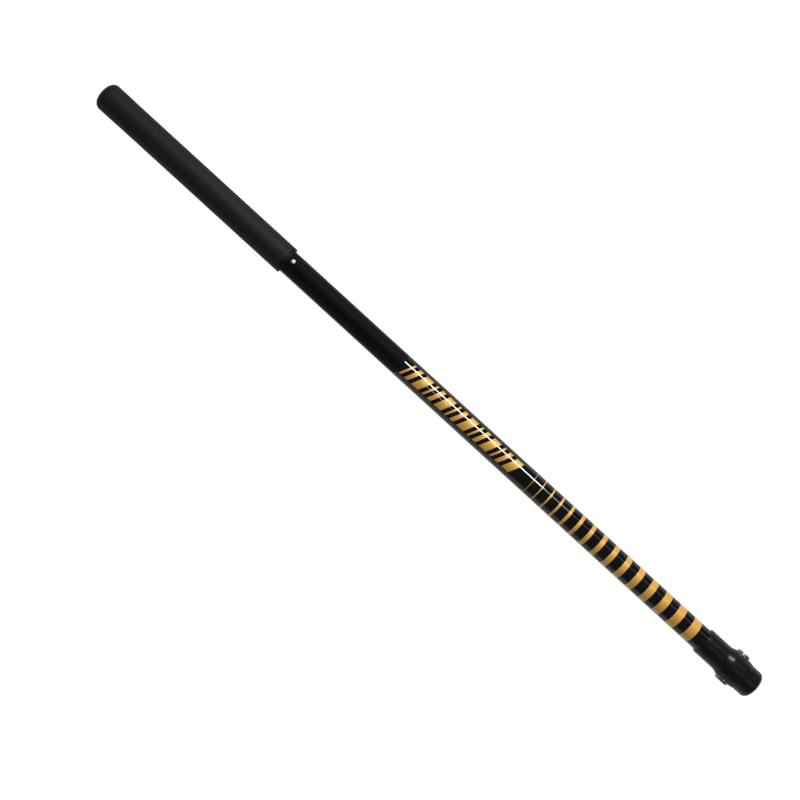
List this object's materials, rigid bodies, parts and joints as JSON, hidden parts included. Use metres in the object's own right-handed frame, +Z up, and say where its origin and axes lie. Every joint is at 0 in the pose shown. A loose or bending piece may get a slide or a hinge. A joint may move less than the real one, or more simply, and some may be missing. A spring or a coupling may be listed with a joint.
{
  "type": "swing trainer stick",
  "caption": "Straight tubular swing training stick with a foam grip, graduated gold bands, a pinned rubber end boot and a sliding striker weight inside.",
  "frame": {"origin": "on the floor under the middle of the stick, at the bottom centre of its bounding box; the stick's axis runs 17.0 mm above it", "axes": "+X along the stick from the grip's butt end to the boot's tip, +Z up, +Y across the stick along the cross pin towards its screw head"},
  "size_m": [0.9144, 0.0386, 0.034],
  "materials": {
    "grip_foam": "matt foam",
    "black_plastic": "moulded",
    "black_tube": "satin black anodised",
    "black_film": "glossy",
    "gold_print": "glossy gold ink",
    "bright_rivet": "polished",
    "bare_aluminium": "turned",
    "plain_steel": "turned",
    "plated_magnet": "nickel plated",
    "white_nylon": "machined",
    "black_rubber": "moulded, semi-matt",
    "polished_metal": "polished, dark nickel"
  },
  "bodies": {
    "shaft": {"grip_sleeve": "grip_foam", "grip_end_ring": "black_plastic", "butt_plug": "black_plastic", "shaft_tube": "black_tube", "graphic_wrap": "black_film", "gold_motif": "gold_print", "gold_bands": "gold_print", "holder_rivets": "bright_rivet", "magnet_holder": "bare_aluminium", "magnet_cup": "plain_steel", "hold_magnet": "plated_magnet", "magnet_screw": "plain_steel", "magnet_pad": "black_rubber", "anvil_plug": "plain_steel", "end_collar": "bare_aluminium", "cross_post": "polished_metal", "cross_screw": "polished_metal", "end_boot": "black_rubber"},
    "striker": {"striker_weight": "plain_steel", "striker_ring_rear": "white_nylon", "striker_ring_front": "white_nylon"}
  },
  "joints": [
    {"name": "striker_slide", "type": "slide", "parent": "shaft", "child": "striker", "axis": [1, 0, 0], "range_m": [0, 0.4994]}
  ]
}
